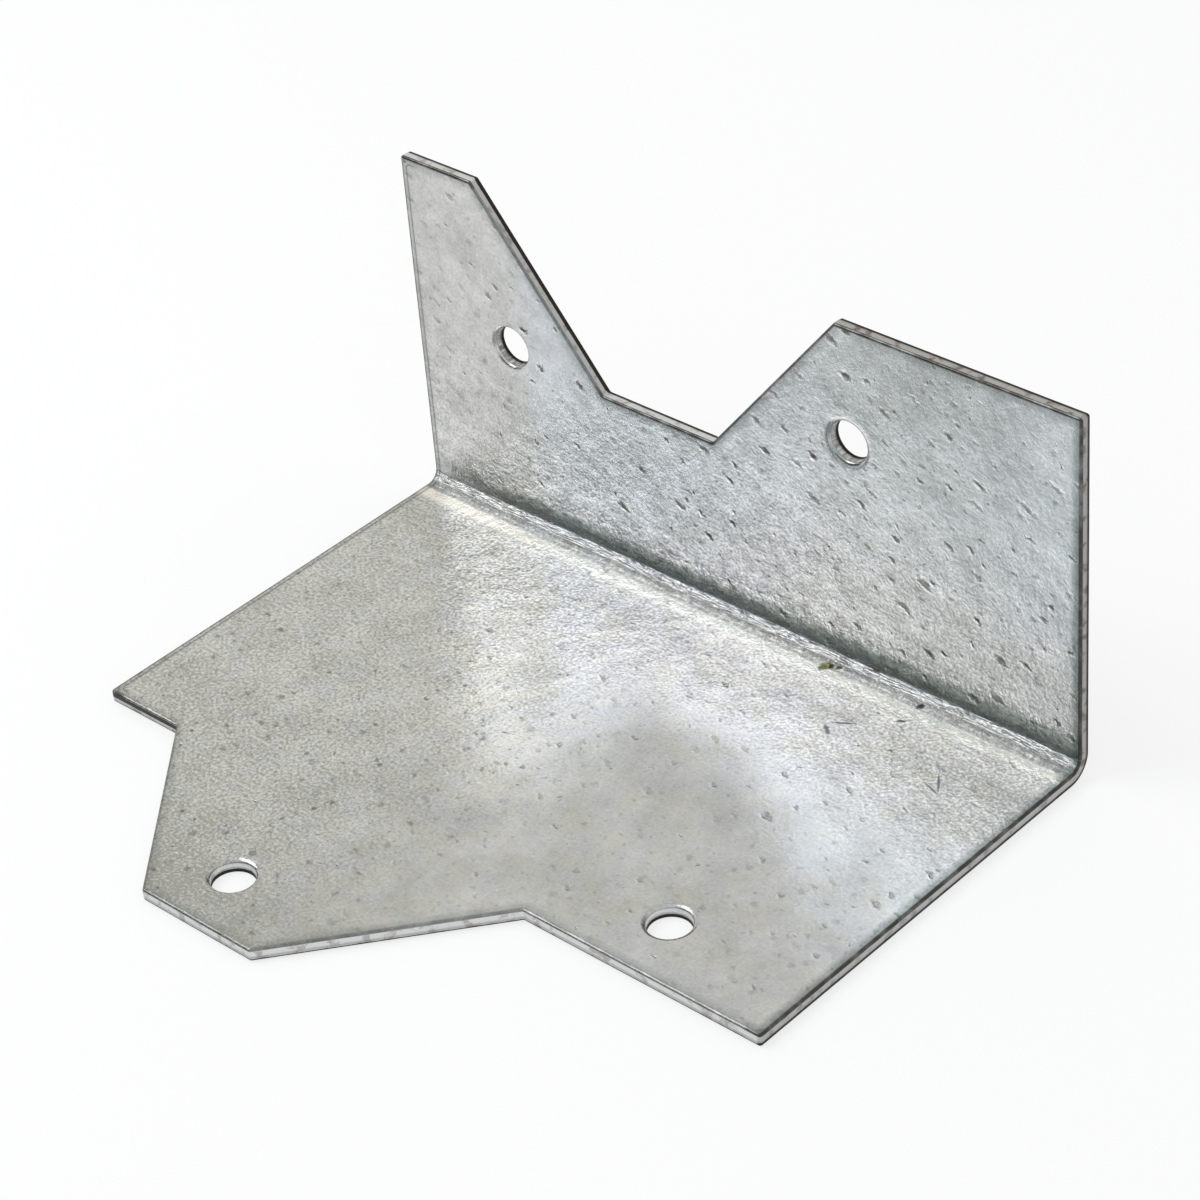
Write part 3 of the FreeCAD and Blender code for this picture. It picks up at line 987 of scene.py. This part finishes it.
@dataclass
class FlatBlank:
    """The blank as it leaves the punch, drawn flat in millimetres.

    A point is a complex number, x along the bend and s across it: s is 0 at the middle of the bend,
    negative on the floor leg and positive on the standing leg. The sheet's middle is at height 0, and
    the face that ends up inside the fold looks up.
    """

    length: float
    floor_reach: float
    standing_height: float
    floor_holes: list[tuple[float, float, float]]
    standing_holes: list[tuple[float, float, float]]
    thickness: float = 1.2
    bend_radius: float = 1.2
    step_depth: float = 17.45
    first_tab: float = 8.7
    slope_run: float = 14.5
    tongue: float = 13.0
    corner_radius: float = 0.3
    hole_lip_width: float = 0.58
    hole_lip_depth: float = 0.32
    hole_burnish: float = 0.3
    hole_burr: float = 0.08
    hole_exit_bevel: float = 0.04
    upset_reach: float = 1.75
    spacing: float = 0.55
    lip_clearance: float = 0.55
    bend_rows: int = 32
    corner_steps: int = 5
    hole_steps: int = 72

    def __post_init__(self) -> None:
        """Draws the cuts."""
        self.loops = [self.outline(), *self.holes()]
        self.vertices: list[tuple[float, float, float]] = []
        self.gaps: dict[Carried, list[float]] = {Carried.EDGE_GAP: [], Carried.HOLE_GAP: []}
        self.faces: list[tuple[int, ...]] = []
        self.walls: list[bool] = []
        self.map: list[complex] = []

    @property
    def half_arc(self) -> float:
        """Half the length of the bend, along the middle of the sheet."""
        return (self.bend_radius + self.thickness / 2) * RIGHT_ANGLE / 2

    @property
    def outside_radius(self) -> float:
        """The radius of the bend's outside face."""
        return self.bend_radius + self.thickness

    @property
    def upset_end(self) -> float:
        """Where the thickened inside of the bend runs out, on the standing leg."""
        return self.half_arc + self.upset_reach

    def floor_station(self, reach: float) -> float:
        """Gives s for a distance in front of the standing leg's back."""
        return self.outside_radius - reach - self.half_arc

    def standing_station(self, height: float) -> float:
        """Gives s for a height over the floor leg's underside."""
        return height - self.outside_radius + self.half_arc

    def corners(self) -> np.ndarray:
        """Lists the outline's corners.

        Returns:
            The corners, anticlockwise from the front of the left end.
        """
        runs = (0.0, self.first_tab, self.slope_run, self.tongue, self.slope_run)
        across = [*(np.cumsum(runs) - self.length / 2), self.length / 2]
        shoulder = self.floor_station(self.floor_reach - self.step_depth)
        front = self.floor_station(self.floor_reach)
        notch = self.standing_station(self.standing_height - self.step_depth)
        top = self.standing_station(self.standing_height)
        floor_ends = (shoulder, shoulder, front, front, shoulder, shoulder)
        standing_ends = (top, top, notch, notch, top, top)
        floor_edge = [complex(*place) for place in zip(across, floor_ends)]
        standing_edge = [complex(*place) for place in zip(across, standing_ends)]
        return np.array(floor_edge + standing_edge[::-1])

    def bend_stations(self) -> np.ndarray:
        """Gives the rows that follow the bend round, from the floor leg to the standing leg."""
        return np.linspace(-self.upset_end, self.upset_end, self.bend_rows + 1)

    def outline(self) -> Loop:
        """Draws the outline with rounded corners.

        Returns:
            The loop, anticlockwise.
        """
        corners = self.corners()
        away = np.roll(corners, -1) - corners
        away /= abs(away)
        into = np.roll(away, 1)
        turns = np.angle(away / into)
        trims = self.corner_radius * np.tan(abs(turns) / 2)
        starts = corners + away * trims
        ends = np.roll(corners - into * trims, -1)
        points: list[np.ndarray] = []
        outward: list[np.ndarray] = []
        for place, corner in enumerate(corners):
            side = math.copysign(1.0, turns[place])
            to_centre = 1j * into[place] * side
            centre = corner - into[place] * trims[place] + to_centre * self.corner_radius
            spokes = -to_centre * np.exp(1j * turns[place] * np.linspace(0.0, 1.0, self.corner_steps + 1))
            run = self.straight(starts[place], ends[place])
            points += [centre + spokes * self.corner_radius, run]
            outward += [spokes * side, np.full(len(run), -1j * away[place])]
        return Loop(np.concatenate(points), np.concatenate(outward), CutSection(self.thickness))

    def straight(self, start: complex, end: complex) -> np.ndarray:
        """Divides a straight side, with a point at each row of the bend where it crosses them.

        Args:
            start: where it starts.
            end: where it ends.

        Returns:
            The points between its ends.
        """
        count = max(2, round(abs(end - start) / self.spacing))
        run = start + (end - start) * np.arange(1, count) / count
        if start.imag * end.imag < 0:
            clear = abs(run.imag) > self.upset_end + self.spacing / 2
            run = np.concatenate([run[clear], start.real + 1j * self.bend_stations()])
            run = run[np.argsort(run.imag * math.copysign(1.0, end.imag - start.imag))]
        return run

    def holes(self) -> list[Loop]:
        """Draws the nail holes.

        Returns:
            Their loops, clockwise.
        """
        drilled = [(complex(x, self.floor_station(reach)), radius) for x, reach, radius in self.floor_holes]
        drilled += [(complex(x, self.standing_station(up)), radius) for x, up, radius in self.standing_holes]
        spokes = np.exp(-2j * math.pi * np.arange(self.hole_steps) / self.hole_steps)
        lip = (self.hole_lip_width, self.hole_lip_depth)
        section = CutSection(self.thickness, *lip, self.hole_burnish, -self.hole_burr, self.hole_exit_bevel)
        return [Loop(centre + radius * spokes, -spokes, section) for centre, radius in drilled]

    @staticmethod
    def survey(points: np.ndarray, lines: list[np.ndarray]) -> tuple[np.ndarray, np.ndarray]:
        """Measures points against closed lines.

        Args:
            points: where to measure.
            lines: the points of the outline and of the holes in it.

        Returns:
            Each point's distance from the nearest line, and whether it lies in the metal.
        """
        gaps = np.full(len(points), np.inf)
        within = np.zeros(len(points), bool)
        for line in lines:
            for start, end in zip(line, np.roll(line, -1)):
                side = end - start
                share = np.clip(((points - start) / side).real, 0.0, 1.0)
                gaps = np.minimum(gaps, abs(points - start - share * side))
                crossed = (start.imag > points.imag) != (end.imag > points.imag)
                if side.imag:
                    crossing = start.real + side.real * (points.imag - start.imag) / side.imag
                    within ^= crossed & (points.real < crossing)
        return gaps, within

    def lattice(self) -> np.ndarray:
        """Spreads points over the metal, in rows that follow the bend.

        Returns:
            The points, clear of every lip.
        """
        front = self.floor_station(self.floor_reach)
        top = self.standing_station(self.standing_height)
        legs = []
        for free_edge, bend_edge in ((front, -self.upset_end), (top, self.upset_end)):
            count = round(abs(free_edge - bend_edge) / self.spacing)
            legs.append(np.linspace(free_edge, bend_edge, count, endpoint=False))
        rows = np.concatenate([*legs, self.bend_stations()])
        columns = np.linspace(-self.length / 2, self.length / 2, round(self.length / self.spacing))
        points = (columns[None, :] + 1j * rows[:, None]).ravel()
        gaps, within = self.survey(points, [loop.points for loop in self.loops])
        widest = max(loop.section.lip_width for loop in self.loops)
        return points[within & (gaps > widest + self.lip_clearance * self.spacing)]

    def add_points(self, points: np.ndarray, height: float) -> int:
        """Adds vertices, with their distances from the cuts.

        Args:
            points: their places on the blank.
            height: their height over the middle of the sheet.

        Returns:
            The number of the first.
        """
        first = len(self.vertices)
        self.vertices += [(p.real, p.imag, height) for p in points]
        outline, *holes = (loop.points for loop in self.loops)
        self.gaps[Carried.EDGE_GAP] += list(self.survey(points, [outline])[0])
        self.gaps[Carried.HOLE_GAP] += list(self.survey(points, holes)[0])
        return first

    def add_rims(self, sheet: BakeSheet) -> list[list[int]]:
        """Builds the walls of every cut, row by row from the inside face to the outside face.

        Args:
            sheet: the bake map.

        Returns:
            For each loop, the number of the first vertex in each row.
        """
        firsts: list[list[int]] = []
        for loop in self.loops:
            rows = loop.section.rows()
            steps = [math.dist(a, b) for a, b in zip(rows, rows[1:])]
            levels = [0.0, *np.cumsum(steps)]
            count = len(loop.points)
            firsts.append([self.add_points(loop.inset(d), h) for d, h in rows])
            runs = loop.stations()
            for row, (upper, lower) in enumerate(zip(firsts[-1], firsts[-1][1:])):
                for place in range(count):
                    after = (place + 1) % count
                    self.faces.append((lower + place, lower + after, upper + after, upper + place))
                    self.walls.append(row >= loop.section.lip_steps)
                    start = sheet.strip(runs[place], 0.0)
                    length = (runs[place + 1] - runs[place]) / sheet.side
                    low, high = (1j * levels[level] / sheet.side for level in (row + 1, row))
                    self.map += [start + low, start + length + low, start + length + high, start + high]
            sheet.strips_used += math.ceil(runs[-1] / sheet.strip_length)
        return firsts

    def add_skin(self, firsts: list[list[int]], inside: bool, spread: np.ndarray, sheet: BakeSheet) -> None:
        """Fills one face of the sheet between the rims.

        Args:
            firsts: for each rim, the number of the first vertex in each row.
            inside: whether this is the face that looks up.
            spread: the points to spread over it.
            sheet: the bake map.
        """
        meeting = 0 if inside else -1
        height = self.loops[0].section.rows()[meeting][1]
        rims = [loop.inset(loop.section.rows()[meeting][0]) for loop in self.loops]
        numbers = [rows[meeting] + place for rows, rim in zip(firsts, rims) for place in range(len(rim))]
        edges: list[tuple[int, int]] = []
        for rim in rims:
            start = len(edges)
            edges += [(start + place, start + (place + 1) % len(rim)) for place in range(len(rim))]
        first = self.add_points(spread, height)
        numbers += range(first, first + len(spread))
        points = np.concatenate([*rims, spread])
        flat = [Vector((p.real, p.imag)) for p in points]
        _, _, triangles, sources, _, _ = delaunay_2d_cdt(flat, edges, [], ALL_TRIANGLES, MERGE_GAP)
        corners = np.array([[sources[corner][0] for corner in triangle] for triangle in triangles])
        _, within = self.survey(points[corners].mean(axis=1), rims)
        origin = complex(self.length / 2, -self.floor_station(self.floor_reach))
        offset = origin if inside else origin + self.length + sheet.margin
        placed = sheet.skin(points, offset)
        for triangle in corners[within]:
            order = triangle if inside else triangle[::-1]
            self.faces.append(tuple(numbers[corner] for corner in order))
            self.walls.append(False)
            self.map += [placed[corner] for corner in order]

    def mesh(self) -> Mesh:
        """Builds the flat blank as a closed mesh, in metres.

        Returns:
            The mesh, with what it carries.
        """
        sheet = BakeSheet()
        firsts = self.add_rims(sheet)
        spread = self.lattice()
        for inside in (True, False):
            self.add_skin(firsts, inside, spread, sheet)
        mesh = bpy.data.meshes.new("flat_blank")
        flat = np.array(self.vertices)
        mesh.from_pydata((flat * MM).tolist(), [], self.faces)
        carried = mesh.attributes.new(Carried.FLAT.value, "FLOAT_VECTOR", "POINT")
        carried.data.foreach_set("vector", flat.astype(np.float32).ravel())
        for name, gaps in self.gaps.items():
            carried = mesh.attributes.new(name.value, "FLOAT", "POINT")
            carried.data.foreach_set("value", np.array(gaps, np.float32))
        carried = mesh.attributes.new(Carried.CUT_WALL.value, "BOOLEAN", "FACE")
        carried.data.foreach_set("value", np.array(self.walls))
        uv = mesh.uv_layers.new(name=Carried.BAKE_MAP.value)
        spots = np.array(self.map)
        uv.data.foreach_set("uv", np.stack([spots.real, spots.imag], axis=1).astype(np.float32).ravel())
        mesh.validate()
        return mesh


@dataclass(frozen=True)
class PressBrake:
    """Folds a flat blank by a Geometry Nodes tree, in metres.

    The punch leaves a narrow pressed flat on the inside of the bend, at 45 degrees, where the metal is a
    little thicker. Above it the thickening runs out up the standing leg, and it fades towards both ends.
    The legs keep the faint waves of a thin sheet.
    """

    thickness: float
    bend_radius: float
    heel: float
    half_length: float
    upset_reach: float
    flat_distance: float = 0.895 * MM
    flat_rounding: float = 0.62 * MM
    flat_edge: float = 0.04 * MM
    flat_edge_share: float = 0.12
    run_out_height: float = 0.146 * MM
    run_out_cap: float = 1.1
    end_fade: float = 2.6 * MM
    wave_height: float = 0.06 * MM
    wave_length: ClassVar[float] = 16.0 * MM
    ripple_height: float = 0.006 * MM
    ripple_length: ClassVar[float] = 2.4 * MM
    seed: float = 4.7

    def tree(self) -> NodeTree:
        """Builds the tree that folds the blank.

        Returns:
            The tree.
        """
        inputs = {"Blank": Socket.GEOMETRY} | {name: Socket.VALUE for name in self.sizes()}
        inputs |= {"Skin": Socket.MATERIAL, "Cut edge": Socket.MATERIAL}
        graph = Graph.group("Press brake", "GeometryNodeTree", inputs, {"Bracket": Socket.GEOMETRY})
        graph.tree.is_modifier = True
        given = graph.given()
        x, s, height = graph.separate(graph.node("GeometryNodeInputPosition").outputs[0])
        place = graph.combine(x, s, given["seed"])
        waves = graph.product(graph.noise(place, Noise(self.wave_length)), given["wave height"])
        ripples = graph.product(graph.noise(place, Noise(self.ripple_length)), given["ripple height"])
        middle = graph.math("MULTIPLY_ADD", given["thickness"], HALF, given["bend radius"])
        arc = graph.product(middle, RIGHT_ANGLE)
        run = graph.math("MULTIPLY_ADD", arc, HALF, s)
        bent = graph.math("MINIMUM", graph.math("MAXIMUM", run, 0.0), arc)
        turn = graph.math("DIVIDE", bent, middle)
        straight = graph.math("ABSOLUTE", graph.math("SUBTRACT", run, bent))
        swell = self.upset(graph, given, arc, s, turn, straight)
        swell = graph.product(swell, self.end_share(graph, given, x))
        share = graph.math("ADD", graph.math("DIVIDE", height, given["thickness"]), HALF)
        height = graph.math("MULTIPLY_ADD", swell, share, height)
        height = graph.math("ADD", height, graph.math("ADD", waves, ripples))
        spoke = graph.math("SUBTRACT", middle, height)
        axis = graph.math("ADD", given["bend radius"], given["thickness"])
        y = graph.math("MULTIPLY_ADD", spoke, graph.math("SINE", turn), graph.math("MINIMUM", run, 0.0))
        y = graph.math("ADD", y, graph.math("SUBTRACT", given["heel"], axis))
        rise = graph.math("MAXIMUM", graph.math("SUBTRACT", run, arc), 0.0)
        drop = graph.product(spoke, graph.math("COSINE", turn))
        z = graph.math("SUBTRACT", graph.math("ADD", axis, rise), drop)
        folded = {"Geometry": given["Blank"], "Position": graph.combine(x, y, z)}
        real = graph.made("GeometryNodeRealizeInstances", [graph.made("GeometryNodeSetPosition", folded)])
        faces = {"Geometry": real, "Material": given["Skin"]}
        wall = graph.node("GeometryNodeInputNamedAttribute", data_type="BOOLEAN")
        wall.inputs["Name"].default_value = Carried.CUT_WALL.value
        cuts = {
            "Geometry": graph.made("GeometryNodeSetMaterial", faces),
            "Selection": wall.outputs["Attribute"],
            "Material": given["Cut edge"],
        }
        return graph.result(Bracket=graph.made("GeometryNodeSetMaterial", cuts))

    def sizes(self) -> dict[str, float]:
        """Gives the values of the tree's inputs by name."""
        return {name.replace("_", " "): value for name, value in asdict(self).items()}

    @staticmethod
    def upset(graph: Graph, given: Sockets, arc: Feed, s: Feed, turn: Feed, straight: Feed) -> NodeSocket:
        """Works out how much thicker the inside of the bend is.

        Args:
            graph: the fold's graph.
            given: its inputs.
            arc: the length of the bend along the middle of the sheet.
            s: the place across the bend.
            turn: the angle that the sheet has turned through there.
            straight: how far past the bend the place is.

        Returns:
            The added thickness.
        """
        lean = graph.math("COSINE", graph.math("SUBTRACT", turn, RIGHT_ANGLE / 2))
        spoke = graph.math("DIVIDE", given["flat distance"], lean)
        flat = graph.math("SUBTRACT", graph.math("SUBTRACT", given["bend radius"], spoke), straight)
        end = graph.math("MULTIPLY_ADD", arc, HALF, given["upset reach"])
        left = graph.math("DIVIDE", graph.math("SUBTRACT", end, s), given["upset reach"])
        left = graph.math("MINIMUM", graph.math("MAXIMUM", left, 0.0), given["run out cap"])
        run_out = graph.product(left, left, given["run out height"])
        near = graph.product(arc, given["flat edge share"])
        run_out = graph.product(run_out, graph.step(s, graph.product(near, -1.0), near))
        rounding = graph.step(s, 0.0, near, given["flat rounding"], given["flat edge"])
        return graph.math("SMOOTH_MAX", flat, run_out, rounding)

    @staticmethod
    def end_share(graph: Graph, given: Sockets, x: Feed) -> NodeSocket:
        """Gives the share of the thickening that is left near the bend's two ends."""
        gap = graph.math("SUBTRACT", given["half length"], graph.math("ABSOLUTE", x))
        return graph.step(gap, 0.0, given["end fade"])

    def fold(self, blank: Object, skin: Material, edge: Material) -> None:
        """Folds a blank and leaves it a plain mesh.

        Args:
            blank: the object that holds the flat blank.
            skin: the finish of its faces.
            edge: the finish of its cut walls.
        """
        tree = self.tree()
        values = self.sizes() | {"Skin": skin, "Cut edge": edge}
        brake = blank.modifiers.new("Press brake", "NODES")
        brake.node_group = tree
        for item in tree.interface.items_tree:
            if item.in_out == "INPUT" and item.name in values:
                brake[item.identifier] = values[item.name]
        depsgraph = bpy.context.evaluated_depsgraph_get()
        folded = bpy.data.meshes.new_from_object(
            blank.evaluated_get(depsgraph), preserve_all_data_layers=True, depsgraph=depsgraph
        )
        blank.modifiers.remove(brake)
        blank.data = folded


@dataclass
class AngleBracket:
    """The whole bracket: one sheet, punched, folded and dressed."""

    name: str = "galvanised_bracket"
    skin: GalvanisedSkin = field(default_factory=GalvanisedSkin)
    edge: ShearedEdge = field(default_factory=ShearedEdge)
    sharp_angle: float = math.radians(38.0)

    def blank(self) -> FlatBlank:
        """Sets out the blank from the CAD node's box and the record's nail holes.

        Returns:
            The blank.
        """
        low, high = (np.array(corner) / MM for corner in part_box(NODE))
        length, reach, height = high - low
        floor_holes, standing_holes = [], []
        for mount in frame["record"]["mounts"]:
            if mount["kind"] == "bore":
                x, y, z = np.array(mount["pos_m"]) / MM
                radius = mount["dims"]["r_mm"]
                if abs(mount["axis"][2]) > UPRIGHT:
                    floor_holes.append((x, high[1] - y, radius))
                else:
                    standing_holes.append((x, z, radius))
        return FlatBlank(length, reach, height, floor_holes, standing_holes)

    def build(self, effects: SurfaceEffects) -> Object:
        """Builds the bracket, hangs it on its body and hides the CAD node.

        Args:
            effects: the shared shader groups.

        Returns:
            The finished piece.
        """
        blank = self.blank()
        piece = add_object(self.name, blank.mesh())
        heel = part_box(NODE)[1][1]
        brake = PressBrake(
            blank.thickness * MM, blank.bend_radius * MM, heel, blank.length / 2 * MM, blank.upset_reach * MM
        )
        brake.fold(piece, self.skin.material(effects), self.edge.material(effects))
        piece.data.name = self.name
        piece.data.shade_smooth()
        piece.data.set_sharp_from_angle(angle=self.sharp_angle)
        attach(piece, BODY)
        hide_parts(NODE)
        return piece


@dataclass(frozen=True)
class Softbox:
    """A square lamp, by where it stands round the bracket, in degrees and metres."""

    name: str
    azimuth: float
    elevation: float
    distance: float
    side: float
    power: float
    tint: tuple[float, float, float]

    def build(self) -> Object:
        """Hangs the lamp and turns it to the bracket.

        Returns:
            The lamp.
        """
        lamp = bpy.data.lights.new(self.name, "AREA")
        lamp.size = self.side
        lamp.energy = self.power
        lamp.color = self.tint
        holder = add_object(self.name, lamp)
        turn, tilt = math.radians(self.azimuth), math.radians(self.elevation)
        away = Vector((math.sin(turn) * math.cos(tilt), -math.cos(turn) * math.cos(tilt), math.sin(tilt)))
        holder.location = away * self.distance
        holder.rotation_euler = away.to_track_quat("Z", "Y").to_euler()
        return holder


@dataclass(frozen=True)
class Studio:
    """A pale floor, soft light all round and the camera of the photograph."""

    floor_side: float = 3.0
    floor_drop: float = 0.05 * MM
    floor_colour: Numbers = (0.90, 0.90, 0.90, 1.0)
    floor_roughness: float = 0.8
    floor_gloss: float = 0.1
    floor_lift: float = 0.7
    lamp: Softbox = Softbox("front left softbox", -59.0, 52.0, 0.40, 0.26, 0.56, (1.0, 0.97, 0.985))
    room_front: Numbers = (0.80, 0.86, 0.89, 1.0)
    room_back: Numbers = (0.86, 0.85, 0.815, 1.0)
    room_blend: Pair = (-0.6, 0.6)
    room_strength: float = 1.0
    dusk: Numbers = (0.05, 0.066, 0.062, 1.0)
    dim_corner: Numbers = (-0.57, -0.82, 0.0)
    dim_heights: Pair = (0.36, 0.52)
    dim_reach: Pair = (0.55, 0.85)
    camera_place: Numbers = (0.18957, -0.17981, 0.20325)
    camera_right: Numbers = (0.7428, 0.66587, -0.0697)
    camera_down: Numbers = (0.34366, -0.46855, -0.81385)
    camera_ahead: Numbers = (-0.57458, 0.58058, -0.57687)
    lens: float = 114.763
    near_clip: float = 0.01

    def floor_material(self) -> Material:
        """Builds the floor's paint, lifted towards white where it is seen, so that its shadow stays.

        Returns:
            The material.
        """
        material = bpy.data.materials.new("studio floor")
        material.use_nodes = True
        graph = Graph(material.node_tree)
        paint = graph.find("BSDF_PRINCIPLED")
        output = graph.find("OUTPUT_MATERIAL")
        paint.inputs["Base Color"].default_value = self.floor_colour
        paint.inputs["Roughness"].default_value = self.floor_roughness
        paint.inputs["Specular IOR Level"].default_value = self.floor_gloss
        glow = graph.node("ShaderNodeEmission")
        path = graph.node("ShaderNodeLightPath")
        seen = graph.math("MAXIMUM", path.outputs["Is Camera Ray"], path.outputs["Is Glossy Ray"])
        seen = graph.math("MAXIMUM", seen, path.outputs["Is Transmission Ray"])
        share = graph.product(seen, self.floor_lift)
        lifted = graph.made("ShaderNodeMixShader", (share, paint.outputs[0], glow.outputs[0]))
        graph.feed(output.inputs["Surface"], lifted)
        return material

    def build_floor(self) -> Object:
        """Lays the floor just under the bracket.

        Returns:
            The floor.
        """
        half = self.floor_side / 2
        plan = ((-half, -half), (half, -half), (half, half), (-half, half))
        corners = [(x, y, -self.floor_drop) for x, y in plan]
        mesh = bpy.data.meshes.new("studio_floor")
        mesh.from_pydata(corners, [], [(0, 1, 2, 3)])
        mesh.materials.append(self.floor_material())
        floor = add_object("studio_floor", mesh)
        return floor

    def build_world(self) -> None:
        """Fills the room with soft light that falls off low down, in front on the left."""
        world = bpy.data.worlds.new("studio")
        world.use_nodes = True
        graph = Graph(world.node_tree)
        sky = graph.find("BACKGROUND")
        ahead = graph.node("ShaderNodeTexCoord").outputs["Generated"]
        facing = graph.node("ShaderNodeVectorMath", operation="DOT_PRODUCT")
        graph.feed(facing.inputs[0], ahead)
        facing.inputs[1].default_value = self.dim_corner
        low = graph.step(graph.separate(ahead)[2], *self.dim_heights, 1.0, 0.0)
        dim = graph.product(low, graph.step(facing.outputs["Value"], *self.dim_reach))
        back = graph.step(graph.separate(ahead)[1], *self.room_blend)
        room = graph.mix(back, self.room_front, self.room_back)
        graph.feed(sky.inputs["Color"], graph.mix(dim, room, self.dusk))
        sky.inputs["Strength"].default_value = self.room_strength
        bpy.context.scene.world = world

    def build_camera(self) -> Object:
        """Puts the camera where the photograph's edges say it stood.

        Returns:
            The camera.
        """
        camera = bpy.data.cameras.new("photo_camera")
        camera.lens = self.lens
        camera.clip_start = self.near_clip
        holder = add_object("photo_camera", camera)
        axes = Matrix((self.camera_right, -Vector(self.camera_down), -Vector(self.camera_ahead))).transposed()
        holder.matrix_world = Matrix.LocRotScale(Vector(self.camera_place), axes.to_quaternion(), None)
        bpy.context.scene.camera = holder
        return holder

    def build(self) -> None:
        """Sets up the camera, the floor, the lamp and the room."""
        self.build_camera()
        self.build_floor()
        self.build_world()
        self.lamp.build()
        bpy.context.scene.view_settings.view_transform = "Standard"


def main() -> None:
    """Builds the studio and the bracket."""
    logging.basicConfig(level=logging.INFO, format="%(name)s: %(message)s")
    Studio().build()
    piece = AngleBracket().build(SurfaceEffects())
    log.info("%s: %d faces", piece.name, len(piece.data.polygons))


if __name__ == "__main__":
    main()
